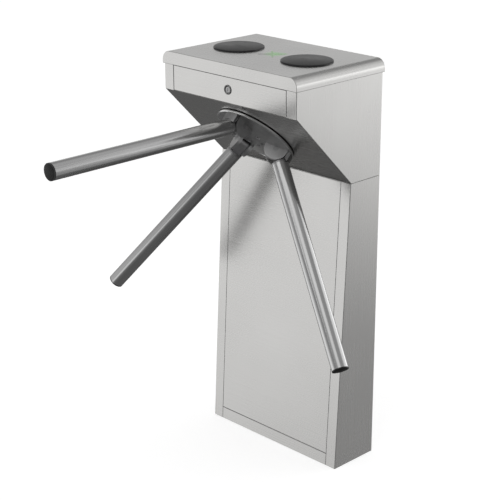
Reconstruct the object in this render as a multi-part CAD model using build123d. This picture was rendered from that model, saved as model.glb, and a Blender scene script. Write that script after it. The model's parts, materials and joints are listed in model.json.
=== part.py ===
from build123d import *
import os
from math import atan2, cos, degrees, hypot, pi, radians, sin, sqrt

# Tripod turnstile for counting visitors, in millimetres.
# +Z is up, -Y is the walkway side that the arms reach into, and the origin is on
# the floor at the middle of the floor-anchor pattern.

# ---------------------------------------------------------------- cabinet sizes
WIDTH = 420.0
HEIGHT = 980.0
LID_SEAM_Z = 950.0
SLANT_TOP_Z = 890.0
SLANT_BOTTOM_Z = 710.0
HEAD_DEPTH = 280.0
NECK_DEPTH = 100.0
FOOT_DEPTH = 136.0
REAR_Y = 68.0
SHEET = 2.0
FLANGE = 29.0
KICK_HEIGHT = 30.0
SEAM = 1.0
SIDE_SEAM = 1.5
SEAM_GROOVE = 1.3
NECK_SEAM = 1.5
BEND_RADIUS = 1.5
PANEL_EDGE_RADIUS = 0.9
HEM_RADIUS = 1.3

SIDE_X = WIDTH / 2
PANEL_X = SIDE_X - FLANGE - SIDE_SEAM
HEAD_FRONT_Y = REAR_Y - HEAD_DEPTH
NECK_FRONT_Y = REAR_Y - NECK_DEPTH
FOOT_FRONT_Y = REAR_Y - FOOT_DEPTH

# ------------------------------------------------------------------- lid sizes
LID_OVERHANG = 3.5
LID_EDGE_RADIUS = 22.0
LID_INNER_TOP = HEIGHT - SHEET
LID_MID_Y = REAR_Y - HEAD_DEPTH / 2
WALL_TOP_Z = LID_SEAM_Z + 8.0
READER_X = 108.0
READER_RADIUS = 59.5
READER_HOLE_RADIUS = 55.5
READER_PROUD = 3.2
INDICATOR_LENGTH = 66.0
INDICATOR_WIDTH = 3.6
HINGE_X = 110.0
HINGE_Y = REAR_Y + 9.0
HINGE_Z = LID_SEAM_Z
KNUCKLE_RADIUS = 4.5
HINGE_PIN_RADIUS = 2.5

# ------------------------------------------------------------------ lock sizes
LOCK_Z = 921.0
LOCK_BEZEL_RADIUS = 11.0
LOCK_BEZEL_PROUD = 2.0
LOCK_BARREL_RADIUS = 9.5
LOCK_PLUG_RADIUS = 6.5
LOCK_BARREL_END_Y = HEAD_FRONT_Y + 26.0
LOCK_CAM_THICKNESS = 3.0

# ----------------------------------------------------------- floor anchorage
BASE_THICKNESS = 6.0
ANCHOR_SPACING_X = 300.0
ANCHOR_SPACING_Y = 80.0
ANCHOR_HOLE_RADIUS = 7.0
CABLE_HOLE_RADIUS = 30.0
GROMMET_BORE_RADIUS = 22.0

# ------------------------------------------------------------- hub and arms
# The hub frame has its origin on the slanted plate's outer face, x across the
# cabinet, y up the slope and z outwards along the hub axis.
HUB_UP_SLOPE = 130.0
HUB_SLOPE = 45.0
HUB_GAP = 2.4
HUB_RADIUS = 95.0
HUB_RIM_TOP = 5.8
HUB_CROWN = 14.0
TRIM_RADIUS = 99.5
TRIM_TOP = 6.6
HUB_OPENING_RADIUS = 72.0
HUB_SCREW_CIRCLE = 27.0
HUB_SCREW_COUNT = 6
HUB_SCREW_SEAT = 8.2
HUB_SCREW_HEAD = 4.4

ARM_ANGLES = {"top": 0.0, "right": 120.0, "left": 240.0}
ARM_CONE = 45.0
APEX_BEHIND = 48.0
ARM_TIP = 617.0
PIVOT_FROM_APEX = 88.0
TUBE_RADIUS = 19.0
TUBE_WALL = 1.5
TUBE_START = 33.0
CAP_FLANGE = 2.4
CAP_CROWN = 1.6
TONGUE_RADIUS = 12.5
TONGUE_HALF_WIDTH = 11.0
EAR_RADIUS = 27.0
EAR_THICKNESS = 8.0
EAR_GAP = 0.5
PIVOT_PIN_RADIUS = 6.0
PIVOT_PIN_INSET = 0.3
SHAFT_CLEARANCE = 0.05
REST_HALF_WIDTH = 17.0
REST_INNER_Y = 90.0
REST_FLOOR = 5.0
REST_LIP = 28.0
REST_CLEARANCE = 0.4

PIVOT_R = PIVOT_FROM_APEX * sin(radians(ARM_CONE))
PIVOT_W = PIVOT_FROM_APEX * cos(radians(ARM_CONE)) - APEX_BEHIND
TUBE_END = ARM_TIP - PIVOT_FROM_APEX - CAP_FLANGE
TUBE_BORE = TUBE_RADIUS - TUBE_WALL
EAR_INNER_X = TONGUE_HALF_WIDTH + EAR_GAP
EAR_OUTER_X = EAR_INNER_X + EAR_THICKNESS

# ------------------------------------------------- mechanism behind the plate
SLANT_PLATE = 3.0
PLATE_HALF_X = 100.0
PLATE_HALF_Y = 92.0
PLATE_THICKNESS = 8.0
FRONT_PLATE_W = -SLANT_PLATE
REAR_PLATE_W = -95.0
PLATE_BOLT_CIRCLE = 84.0
PLATE_BOLT_RADIUS = 4.0
POST_X = 88.0
POST_Y = 80.0
POST_RADIUS = 7.0
SHAFT_RADIUS = 15.0
SHAFT_FLANGE_RADIUS = 34.0
SHAFT_FLANGE_BACK = -2.0
SHAFT_END_W = -112.0
BEARING_OUTER = 31.0
BEARING_INNER_LAND = 19.7
BEARING_OUTER_LAND = 26.3
BEARING_BALL = 3.0
BEARING_WIDTH = 16.0
BALL_COUNT = 10
FRONT_BEARING_W = -29.0
REAR_BEARING_W = -93.0
WHEEL_RADIUS = 52.0
WHEEL_W = -45.0
WHEEL_THICKNESS = 10.0
NOTCH_COUNT = 12
NOTCH_WIDTH = 12.0
NOTCH_DEPTH = 9.5
GEAR_MODULE = 1.5
GEAR_TEETH = 64
PINION_TEETH = 24
GEAR_W = -66.0
GEAR_WIDTH = 8.0
DAMPER_RADIUS = 20.0
ENCODER_RADIUS = 30.0
ENCODER_W = -110.0
PAWL_PIVOT_X = 82.0
PAWL_PIVOT_Y = 30.0
PAWL_W = -44.0
PAWL_THICKNESS = 8.0
PAWL_NOTCH_ANGLE = -30.0
PAWL_NOSE_RADIUS = 53.5
PAWL_TAIL = 30.0
PLUNGER_RADIUS = 4.0

GEAR_DISTANCE = GEAR_MODULE * (GEAR_TEETH + PINION_TEETH) / 2
HUB_FRAME = Plane(
    origin=(
        0,
        NECK_FRONT_Y - HUB_UP_SLOPE * cos(radians(HUB_SLOPE)),
        SLANT_BOTTOM_Z + HUB_UP_SLOPE * sin(radians(HUB_SLOPE)),
    ),
    x_dir=(1, 0, 0),
    z_dir=(0, -sin(radians(HUB_SLOPE)), -cos(radians(HUB_SLOPE))),
)
# The top arm's frame, in hub coordinates: origin on its pivot pin, x along the
# pin, y towards the hub's rim and z out along the arm.
ARM_FRAME = Plane(
    origin=(0, PIVOT_R, PIVOT_W),
    x_dir=(1, 0, 0),
    z_dir=(0, sin(radians(ARM_CONE)), cos(radians(ARM_CONE))),
)


# ------------------------------------------------------------ shape helpers
def block(x0, x1, y0, y1, z0, z1):
    """Box between two corners."""
    middle = Pos((x0 + x1) / 2, (y0 + y1) / 2, (z0 + z1) / 2)
    return middle * Box(x1 - x0, y1 - y0, z1 - z0)


def rod(radius, z0, z1, x=0.0, y=0.0):
    """Cylinder along Z."""
    return Pos(x, y, (z0 + z1) / 2) * Cylinder(radius, z1 - z0)


def rod_x(radius, x0, x1, y=0.0, z=0.0):
    """Cylinder along X."""
    return Pos((x0 + x1) / 2, y, z) * Rot(0, 90, 0) * Cylinder(radius, x1 - x0)


def rod_y(radius, y0, y1, x=0.0, z=0.0):
    """Cylinder along Y."""
    return Pos(x, (y0 + y1) / 2, z) * Rot(90, 0, 0) * Cylinder(radius, y1 - y0)


def ring(outer, inner, z0, z1):
    """Tube along Z."""
    return rod(outer, z0, z1) - rod(inner, z0 - 1, z1 + 1)


def hexagon(across_flats, z0, z1):
    """Hexagonal prism along Z."""
    corner_radius = across_flats / sqrt(3)
    return extrude(Pos(0, 0, z0) * RegularPolygon(corner_radius, 6), z1 - z0)


def prism_x(points, x0, x1):
    """Outline in (y, z), extruded along X."""
    face = Plane.YZ.offset(x0) * Polygon(*points, align=None)
    return extrude(face, x1 - x0, dir=(1, 0, 0))


def turned(points):
    """Outline in (radius, z), turned about Z."""
    return revolve(Plane.XZ * Polygon(*points, align=None), Axis.Z)


def side_corners(prism):
    """Upright and slanted edges where a prism along X meets its end faces."""
    corners = []
    for edge in prism.edges():
        direction = edge.tangent_at(0.5)
        if abs(direction.X) < 0.5 and abs(direction.Z) > 0.5:
            corners.append(edge)
    return corners


def both_sides(part):
    """The part and its mirror image across the cabinet's middle."""
    return Compound([*solids_of(part), *solids_of(mirror(part, Plane.YZ))])


def solids_of(part):
    """Separate solids of a shape."""
    return list(part.solids())


def group(parts):
    """Separate solids kept together in one node."""
    return Compound([solid for part in parts for solid in solids_of(part)])


def around_hub(part, angle):
    """Turn a piece made for the top arm to another arm's place."""
    return Rot(0, 0, -angle) * part


def on_hub(part):
    """Move a piece from hub coordinates to the cabinet's."""
    return HUB_FRAME.location * part


def front_y(z):
    """The leaning pedestal front at a height."""
    return FOOT_FRONT_Y + (NECK_FRONT_Y - FOOT_FRONT_Y) * z / SLANT_BOTTOM_Z


# -------------------------------------------------------------------- pedestal
def base_plate():
    front = front_y(BASE_THICKNESS) + SHEET + 0.1
    plate = block(-SIDE_X + SHEET, SIDE_X - SHEET, front, REAR_Y - SHEET, 0, BASE_THICKNESS)
    plate -= rod(CABLE_HOLE_RADIUS, -1, BASE_THICKNESS + 1)
    for x in (-ANCHOR_SPACING_X / 2, ANCHOR_SPACING_X / 2):
        for y in (-ANCHOR_SPACING_Y / 2, ANCHOR_SPACING_Y / 2):
            plate -= rod(ANCHOR_HOLE_RADIUS, -1, BASE_THICKNESS + 1, x, y)
    return plate


def cable_grommet():
    lip = CABLE_HOLE_RADIUS + 5
    bottom = 1.0
    top = BASE_THICKNESS + 4
    outline = [
        (GROMMET_BORE_RADIUS, bottom),
        (CABLE_HOLE_RADIUS, bottom),
        (CABLE_HOLE_RADIUS, BASE_THICKNESS),
        (lip, BASE_THICKNESS),
        (lip - 1.5, top),
        (GROMMET_BORE_RADIUS, top),
    ]
    return turned(outline)


def pedestal_shell():
    top = SLANT_BOTTOM_Z
    outer = [(FOOT_FRONT_Y, 0), (REAR_Y, 0), (REAR_Y, top), (NECK_FRONT_Y, top)]
    inner = [
        (FOOT_FRONT_Y + SHEET, -1),
        (REAR_Y - SHEET, -1),
        (REAR_Y - SHEET, top - SHEET),
        (NECK_FRONT_Y + SHEET, top - SHEET),
    ]
    shell = prism_x(outer, -SIDE_X, SIDE_X)
    shell = fillet(side_corners(shell), BEND_RADIUS)
    shell -= prism_x(inner, -SIDE_X + SHEET, SIDE_X - SHEET)
    door = SIDE_X - FLANGE
    shell -= block(-door, door, FOOT_FRONT_Y - 5, NECK_FRONT_Y + 3, KICK_HEIGHT, top - SHEET)
    shell -= kick_strip_seams()
    shell -= neck_opening(top - 10, top + 1)
    shell -= group(bolt_holes(top - 10, top + 1))
    keep = block(
        -SIDE_X + SEAM_GROOVE,
        SIDE_X - SEAM_GROOVE,
        NECK_FRONT_Y + SEAM_GROOVE,
        REAR_Y - SEAM_GROOVE,
        top - 2,
        top + 2,
    )
    rim = block(-SIDE_X - 1, SIDE_X + 1, NECK_FRONT_Y - 5, REAR_Y + 1, top - NECK_SEAM, top + 1)
    return shell - (rim - keep)


def kick_strip_seams():
    """Grooves that carry the front panel's upright seams down to the floor."""
    points = [
        (front_y(0) - 1, -1),
        (front_y(0) + SEAM_GROOVE, -1),
        (front_y(KICK_HEIGHT) + SEAM_GROOVE, KICK_HEIGHT + 1),
        (front_y(KICK_HEIGHT) - 1, KICK_HEIGHT + 1),
    ]
    return both_sides(prism_x(points, PANEL_X, PANEL_X + SIDE_SEAM))


def neck_opening(z0, z1):
    """Cable way between the head and the pedestal."""
    return block(-140, 140, -12, 50, z0, z1)


def bolt_places():
    return [(x, y) for x in (-172, 172) for y in (-8, 48)]


def bolt_holes(z0, z1):
    return [rod(4.5, z0, z1, x, y) for x, y in bolt_places()]


def joint_bolts():
    seat = SLANT_BOTTOM_Z + SHEET
    under = SLANT_BOTTOM_Z - SHEET
    pieces = []
    for x, y in bolt_places():
        bolt = rod(4, under - 12, seat) + hexagon(13, seat, seat + 5.5)
        nut = hexagon(13, under - 6.5, under) - rod(4, under - 8, under + 1)
        pieces += [Pos(x, y, 0) * bolt, Pos(x, y, 0) * nut]
    return group(pieces)


def pedestal_front_panel():
    bottom = KICK_HEIGHT + SEAM
    top = SLANT_BOTTOM_Z - SHEET - SEAM
    depth = 16.0

    def slab(x, near, far, low, high):
        points = [
            (front_y(low) + near, low),
            (front_y(low) + far, low),
            (front_y(high) + far, high),
            (front_y(high) + near, high),
        ]
        return prism_x(points, -x, x)

    pan = slab(PANEL_X, 0, depth, bottom, top)
    pan = fillet(front_edges(pan), PANEL_EDGE_RADIUS)
    return pan - slab(PANEL_X - SHEET, SHEET, depth + 1, bottom + SHEET, top - SHEET)


def front_edges(panel):
    """The four edges around a panel's front face."""
    return panel.faces().sort_by(Axis.Y)[0].edges()


# ------------------------------------------------------------------------ head
def head_shell():
    outer = [
        (REAR_Y, SLANT_BOTTOM_Z),
        (NECK_FRONT_Y, SLANT_BOTTOM_Z),
        (HEAD_FRONT_Y, SLANT_TOP_Z),
        (HEAD_FRONT_Y, WALL_TOP_Z),
        (REAR_Y, WALL_TOP_Z),
    ]
    inside = SHEET / sin(radians(HUB_SLOPE))
    corner = SHEET * (1 / sin(radians(HUB_SLOPE)) - 1)
    inner = [
        (REAR_Y - SHEET, SLANT_BOTTOM_Z + SHEET),
        (NECK_FRONT_Y + corner, SLANT_BOTTOM_Z + SHEET),
        (HEAD_FRONT_Y + SHEET, SLANT_TOP_Z + inside - SHEET),
        (HEAD_FRONT_Y + SHEET, WALL_TOP_Z + 1),
        (REAR_Y - SHEET, WALL_TOP_Z + 1),
    ]
    shell = prism_x(outer, -SIDE_X, SIDE_X)
    shell = fillet(side_corners(shell), BEND_RADIUS)
    shell -= prism_x(inner, -SIDE_X + SHEET, SIDE_X - SHEET)
    shell -= slant_slab(SIDE_X - SHEET, SLANT_PLATE + 0.3)
    door = SIDE_X - FLANGE
    shell -= block(-door, door, HEAD_FRONT_Y - 1, HEAD_FRONT_Y + SHEET, SLANT_TOP_Z - 1, LID_SEAM_Z)
    shell -= neck_opening(SLANT_BOTTOM_Z - 1, SLANT_BOTTOM_Z + 10)
    return shell - group(bolt_holes(SLANT_BOTTOM_Z - 1, SLANT_BOTTOM_Z + 10))


def slant_slab(half_width, thickness):
    """Layer of the slanted face, measured inwards from the outside."""
    run = thickness / sin(radians(HUB_SLOPE))
    points = [
        (NECK_FRONT_Y, SLANT_BOTTOM_Z),
        (HEAD_FRONT_Y, SLANT_TOP_Z),
        (HEAD_FRONT_Y + run, SLANT_TOP_Z),
        (NECK_FRONT_Y + run, SLANT_BOTTOM_Z),
    ]
    return prism_x(points, -half_width, half_width)


def head_front_panel():
    bottom = SLANT_TOP_Z + SEAM
    top = LID_SEAM_Z - SEAM
    depth = 12.0
    back = HEAD_FRONT_Y + depth
    panel = block(-PANEL_X, PANEL_X, HEAD_FRONT_Y, back, bottom, top)
    panel = fillet(front_edges(panel), PANEL_EDGE_RADIUS)
    panel -= block(
        -PANEL_X + SHEET, PANEL_X - SHEET, HEAD_FRONT_Y + SHEET, back + 1, bottom + SHEET, top - SHEET
    )
    return panel - rod_y(LOCK_BARREL_RADIUS, HEAD_FRONT_Y - 1, HEAD_FRONT_Y + 4, 0, LOCK_Z)


def plate_bolt_places():
    reach = PLATE_BOLT_CIRCLE
    return [(reach, 0), (-reach, 0), (0, reach), (0, -reach)]


def slant_plate():
    plate = slant_slab(SIDE_X - SHEET, SLANT_PLATE)
    holes = [rod(HUB_OPENING_RADIUS, -10, 5)]
    for x, y in plate_bolt_places():
        sink = turned([(0, -SLANT_PLATE), (PLATE_BOLT_RADIUS, -SLANT_PLATE), (7.5, 0), (7.5, 1), (0, 1)])
        holes += [rod(PLATE_BOLT_RADIUS, -10, 5, x, y), Pos(x, y, 0) * sink]
    return plate - on_hub(group(holes))


# -------------------------------------------------------------------- lid group
def lid_box(inset, bottom):
    """The lid's block, rounded along both side edges."""
    x = SIDE_X + LID_OVERHANG - inset
    y0 = HEAD_FRONT_Y - LID_OVERHANG + inset
    y1 = REAR_Y + LID_OVERHANG - inset
    body = block(-x, x, y0, y1, bottom, HEIGHT - inset)
    edges = body.edges().filter_by(Axis.Y).group_by(Axis.Z)[-1]
    return fillet(edges, LID_EDGE_RADIUS - inset)


def lid():
    outside = lid_box(0, LID_SEAM_Z)
    faces = outside.faces().sort_by(Axis.Y)
    rims = [edge for face in (faces[0], faces[-1]) for edge in face.edges()]
    rims = [edge for edge in rims if edge.center().Z > LID_SEAM_Z + 1]
    outside = fillet(rims, PANEL_EDGE_RADIUS)
    hem = outside.faces().sort_by(Axis.Z)[0].edges()
    shell = fillet(hem, HEM_RADIUS) - lid_box(SHEET, LID_SEAM_Z - 1)
    for x in (-READER_X, READER_X):
        shell -= rod(READER_HOLE_RADIUS, LID_SEAM_Z, HEIGHT + 1, x, LID_MID_Y)
    return shell - indicator_cross(LID_INNER_TOP - 1, HEIGHT + 1, 0.0)


def indicator_cross(z0, z1, inset):
    """Two crossed bars at 45 degrees to the lid's sides."""
    length = INDICATOR_LENGTH / 2 - inset
    width = INDICATOR_WIDTH / 2 - inset
    bar = block(-length, length, -width, width, z0, z1)
    return Pos(0, LID_MID_Y, 0) * (Rot(0, 0, 45) * bar + Rot(0, 0, -45) * bar)


def indicator_lens():
    flange = indicator_cross(LID_INNER_TOP - 3, LID_INNER_TOP, -2.0)
    return flange + indicator_cross(LID_INNER_TOP - 1, HEIGHT + 0.2, 0.1)


def reader_cover(side):
    top = HEIGHT + READER_PROUD
    spigot = READER_HOLE_RADIUS - 0.3
    inner = spigot - 3
    outline = [
        (0, HEIGHT - 4),
        (inner, HEIGHT - 4),
        (inner, HEIGHT - 8),
        (spigot, HEIGHT - 8),
        (spigot, HEIGHT),
        (READER_RADIUS, HEIGHT),
        (READER_RADIUS, top - 1.0),
        (READER_RADIUS - 1.2, top),
        (0, top),
    ]
    return Pos(side * READER_X, LID_MID_Y, 0) * turned(outline)


def reader_boards():
    board_top = HEIGHT - 9
    board = ring(50, 12, board_top - 1.6, board_top)
    chip = block(-8, 8, 22, 38, board_top - 4, board_top - 1.6)
    stands = []
    for angle in (pi / 4, 3 * pi / 4, 3 * pi / 2):
        stands.append(rod(3, board_top, HEIGHT - 4, 44 * cos(angle), 44 * sin(angle)))
    place = Pos(READER_X, LID_MID_Y, 0)
    return both_sides(place * group([board + chip, *stands]))


def lid_catch():
    top = LID_INNER_TOP
    cam_back = LOCK_BARREL_END_Y + LOCK_CAM_THICKNESS
    plate_y = cam_back + 5
    low = LOCK_Z - 13
    hanger = block(14, 34, plate_y, plate_y + 2.5, low, top)
    foot = block(14, 34, plate_y, plate_y + 18, top - 2.5, top)
    lip = block(18, 34, plate_y - 9, plate_y, low, low + 3)
    return hanger + foot + lip


# --------------------------------------------------------------- lid hinges
def hinge_fixed_leaf():
    back = REAR_Y
    leaf = block(-30, 30, back, back + 2, HINGE_Z - 35, HINGE_Z - 2.5)
    for x0, x1 in ((-30, -10.3), (10.3, 30)):
        leaf += block(x0, x1, back + 1, HINGE_Y, HINGE_Z - 7, HINGE_Z - 2.5)
        leaf += rod_x(KNUCKLE_RADIUS, x0, x1, HINGE_Y, HINGE_Z)
    return leaf - rod_x(HINGE_PIN_RADIUS, -31, 31, HINGE_Y, HINGE_Z)


def hinge_moving_leaf():
    back = REAR_Y + LID_OVERHANG
    leaf = block(-30, 30, back, back + 2, HINGE_Z + 6, HINGE_Z + 25)
    leaf += block(-10, 10, back, back + 2, HINGE_Z + 0.5, HINGE_Z + 6)
    leaf += rod_x(KNUCKLE_RADIUS, -10, 10, HINGE_Y, HINGE_Z) - block(
        -11, 11, back - 5, back + 1, HINGE_Z - 6, HINGE_Z + 6
    )
    return leaf - rod_x(HINGE_PIN_RADIUS + SHAFT_CLEARANCE, -11, 11, HINGE_Y, HINGE_Z)


def hinge_pin():
    pin = rod_x(HINGE_PIN_RADIUS, -30, 30, HINGE_Y, HINGE_Z)
    for x in (-31.5, 30):
        pin += rod_x(3.6, x, x + 1.5, HINGE_Y, HINGE_Z)
    return pin


def at_both_hinges(part):
    return group([Pos(x, 0, 0) * part for x in (-HINGE_X, HINGE_X)])


# ------------------------------------------------------------------- cam lock
def lock_barrel():
    bore = LOCK_PLUG_RADIUS + SHAFT_CLEARANCE
    end = HEAD_FRONT_Y - LOCK_BARREL_END_Y
    outline = [
        (bore, end),
        (LOCK_BARREL_RADIUS, end),
        (LOCK_BARREL_RADIUS, 0),
        (LOCK_BEZEL_RADIUS, 0),
        (LOCK_BEZEL_RADIUS, LOCK_BEZEL_PROUD - 0.8),
        (LOCK_BEZEL_RADIUS - 0.8, LOCK_BEZEL_PROUD),
        (bore + 2.4, LOCK_BEZEL_PROUD),
        (bore, LOCK_BEZEL_PROUD - 2.0),
    ]
    return Pos(0, HEAD_FRONT_Y, LOCK_Z) * Rot(90, 0, 0) * turned(outline)


def lock_nut():
    front = HEAD_FRONT_Y + SHEET
    nut = hexagon(24, 0, 5.5) - rod(LOCK_BARREL_RADIUS, -1, 7)
    return Pos(0, front + 5.5, LOCK_Z) * Rot(90, 0, 0) * nut


def lock_plug():
    face = HEAD_FRONT_Y
    plug = rod_y(LOCK_PLUG_RADIUS, face, LOCK_BARREL_END_Y - 0.2, 0, LOCK_Z)
    plug += rod_y(4, LOCK_BARREL_END_Y - 0.3, LOCK_BARREL_END_Y + LOCK_CAM_THICKNESS + 0.2, 0, LOCK_Z)
    keyway = block(-0.8, 0.8, face - 1, face + 9, LOCK_Z - 4, LOCK_Z + 4)
    return plug - keyway


def lock_cam():
    front = LOCK_BARREL_END_Y + 0.2
    back = front + LOCK_CAM_THICKNESS
    cam = rod_y(9, front, back, 0, LOCK_Z) + block(-8, 8, front, back, LOCK_Z, LOCK_Z + 30)
    cam -= rod_y(4, front - 1, back + 1, 0, LOCK_Z)
    screw = rod_y(6, back, back + 2, 0, LOCK_Z)
    return group([cam, screw])


# ------------------------------------------------------------ electrical parts
def power_supply():
    low, high = 330.0, 529.0
    box = block(-49, 49, 26, REAR_Y - SHEET, low, high)
    box -= block(-45, 45, 20, 40, low - 1, low + 18)
    vents = [block(-34, 34, 20, 27.2, z, z + 3) for z in range(370, 510, 10)]
    box -= group(vents)
    screws = [rod_y(3, 34, 40.1, x, low + 9) for x in range(-36, 37, 12)]
    return group([box, *[screw - block(-60, 60, 40, 41, low, low + 20) for screw in screws]])


def terminal_strip():
    rail_back = REAR_Y - SHEET
    z = 220.0
    rail = block(-120, 120, rail_back - 7.5, rail_back, z - 13.5, z + 13.5)
    rail -= block(-121, 121, rail_back - 6.5, rail_back + 1, z - 12, z + 12)
    rail += block(-120, 120, rail_back - 7.5, rail_back - 6.5, z - 17.5, z + 17.5)
    front = rail_back - 50
    pieces = [rail]
    for index in range(10):
        x = -70 + 7 * index
        pieces.append(terminal(x, x + 6.2, front, rail_back - 7.5, z))
    breaker = block(20, 55, front - 8, rail_back - 7.5, z - 40, z + 40)
    breaker += block(32, 43, front - 18, front - 8, z - 2, z + 12)
    return group([*pieces, breaker])


def terminal(x0, x1, front, back, z):
    outline = [
        (back, z - 25),
        (front + 14, z - 25),
        (front, z - 8),
        (front, z + 8),
        (front + 14, z + 25),
        (back, z + 25),
    ]
    body = prism_x(outline, x0, x1)
    middle = (x0 + x1) / 2
    return body - rod_y(1.8, front - 1, front + 12, middle, z)


def controller_board():
    wall = REAR_Y - SHEET
    board_back = wall - 8
    board_front = board_back - 1.6
    low, high = 770.0, 890.0
    stands = [rod_y(3, board_back, wall, x, z) for x in (-104, 104) for z in (low + 6, high - 6)]
    board = block(-110, 110, board_front, board_back, low, high)
    board += block(-40, 10, board_front - 9, board_front, 815, 850)
    board += block(30, 90, board_front - 14, board_front, 860, 876)
    board += block(-95, 95, board_front - 10, board_front, low + 3, low + 13)
    for x in (-90, -72, 34, 52, 70):
        board += block(x, x + 14, board_front - 15, board_front, 800, 828)
    for x in (-88, -66, 60):
        board += rod_y(6, board_front - 16, board_front, x, 850)
    return group([board, *stands])


# ------------------------------------------------------------------ hub pieces
def crown_height(radius):
    """Height of the hub's domed face at a radius."""
    rise = HUB_CROWN - HUB_RIM_TOP
    sphere = (HUB_RADIUS**2 + rise**2) / (2 * rise)
    return HUB_CROWN - sphere + sqrt(sphere**2 - radius**2)


def hub_blank():
    """Domed disc, before its slots, ears and holes."""
    middle = HUB_RADIUS / 2
    edges = [
        Line((0, HUB_GAP), (HUB_RADIUS, HUB_GAP)),
        Line((HUB_RADIUS, HUB_GAP), (HUB_RADIUS, HUB_RIM_TOP)),
        ThreePointArc((HUB_RADIUS, HUB_RIM_TOP), (middle, crown_height(middle)), (0, HUB_CROWN)),
        Line((0, HUB_CROWN), (0, HUB_GAP)),
    ]
    return revolve(Plane.XZ * make_face(edges), Axis.Z)


def hub_ear():
    """One ear of the top arm's fork."""
    foot = HUB_GAP + 1
    ear = rod_x(EAR_RADIUS, EAR_INNER_X, EAR_OUTER_X, PIVOT_R, PIVOT_W)
    ear += block(EAR_INNER_X, EAR_OUTER_X, PIVOT_R - EAR_RADIUS, PIVOT_R + EAR_RADIUS, foot, PIVOT_W)
    return ear - block(EAR_INNER_X - 1, EAR_OUTER_X + 1, PIVOT_R - 30, PIVOT_R + 30, -20, foot)


def hub_disc():
    disc = hub_blank()
    ears = group([hub_ear(), mirror(hub_ear(), Plane.YZ)])
    pin_hole = rod_x(PIVOT_PIN_RADIUS, -EAR_OUTER_X, EAR_OUTER_X, PIVOT_R, PIVOT_W)
    slot = block(-EAR_INNER_X, EAR_INNER_X, 40, 80, 0, 40)
    pad_x = REST_HALF_WIDTH + 0.2
    pad = block(-pad_x, pad_x, REST_INNER_Y - 0.2, HUB_RADIUS + 2, REST_FLOOR, 30)
    for angle in ARM_ANGLES.values():
        disc += around_hub(ears, angle)
    for angle in ARM_ANGLES.values():
        disc -= around_hub(slot, angle)
        disc -= around_hub(pin_hole, angle)
        disc -= around_hub(pad, angle)
    for x, y in hub_screw_places():
        disc -= rod(3, 0, 30, x, y)
        disc -= rod(6.2, HUB_SCREW_SEAT, 30, x, y)
    return disc


def hub_screw_places():
    step = 2 * pi / HUB_SCREW_COUNT
    angles = [step * (index + 0.5) for index in range(HUB_SCREW_COUNT)]
    return [(HUB_SCREW_CIRCLE * cos(angle), HUB_SCREW_CIRCLE * sin(angle)) for angle in angles]


def hub_trim_ring():
    outline = [
        (HUB_RADIUS, HUB_GAP),
        (TRIM_RADIUS, HUB_GAP),
        (TRIM_RADIUS, TRIM_TOP - 1.2),
        (TRIM_RADIUS - 1.2, TRIM_TOP),
        (HUB_RADIUS + 1.0, TRIM_TOP),
        (HUB_RADIUS, TRIM_TOP - 1.0),
    ]
    return turned(outline)


def hub_screws():
    top = HUB_SCREW_SEAT + HUB_SCREW_HEAD
    screw = rod(3, SHAFT_FLANGE_BACK, HUB_SCREW_SEAT) + rod(6, HUB_SCREW_SEAT, top)
    screw -= hexagon(5, top - 2.9, top + 1)
    return group([Pos(x, y, 0) * screw for x, y in hub_screw_places()])


def arm_rest():
    """Saddle on the hub's rim that the top arm bears on."""
    ledge = TRIM_TOP + 0.6
    ledge_y = sqrt(HUB_RADIUS**2 - REST_HALF_WIDTH**2) - 0.3
    crest_y = TRIM_RADIUS - 4
    outline = [
        (REST_INNER_Y, REST_FLOOR),
        (ledge_y, REST_FLOOR),
        (ledge_y, ledge),
        (TRIM_RADIUS, ledge),
        (TRIM_RADIUS, REST_LIP),
        (crest_y, REST_LIP),
        (REST_INNER_Y, REST_LIP - (crest_y - REST_INNER_Y)),
    ]
    saddle = prism_x(outline, -REST_HALF_WIDTH, REST_HALF_WIDTH) & rod(TRIM_RADIUS, 0, 50)
    saddle -= ARM_FRAME.location * rod(TUBE_RADIUS + REST_CLEARANCE, 0, 120)
    screws = [rod_x(2.0, REST_HALF_WIDTH, REST_HALF_WIDTH + 1, 93.5, w) for w in (11.5, 18.0)]
    return group([saddle, *screws])


def arm_rests():
    return group([around_hub(arm_rest(), angle) for angle in ARM_ANGLES.values()])


def pivot_pins():
    reach = EAR_OUTER_X - PIVOT_PIN_INSET
    pin = rod_x(PIVOT_PIN_RADIUS, -reach, reach, PIVOT_R, PIVOT_W)
    return group([around_hub(pin, angle) for angle in ARM_ANGLES.values()])


# ------------------------------------------------------------------- arm pieces
def on_arm(part, angle):
    """Move a piece from the top arm's frame to an arm's place on the hub."""
    return on_hub(around_hub(ARM_FRAME.location * part, angle))


def arm_root():
    tongue_x = TONGUE_HALF_WIDTH
    root = rod_x(TONGUE_RADIUS, -tongue_x, tongue_x)
    root += block(-tongue_x, tongue_x, -TONGUE_RADIUS, TONGUE_RADIUS, 0, 28)
    collar = [
        (0, 27),
        (TUBE_RADIUS - 2, 27),
        (TUBE_RADIUS, 29),
        (TUBE_RADIUS, TUBE_START),
        (0, TUBE_START),
    ]
    root += turned(collar)
    root += rod(TUBE_BORE, TUBE_START - 1, TUBE_START + 42)
    return root - rod_x(PIVOT_PIN_RADIUS + SHAFT_CLEARANCE, -20, 20)


def arm_tube():
    return ring(TUBE_RADIUS, TUBE_BORE, TUBE_START, TUBE_END)


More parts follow.
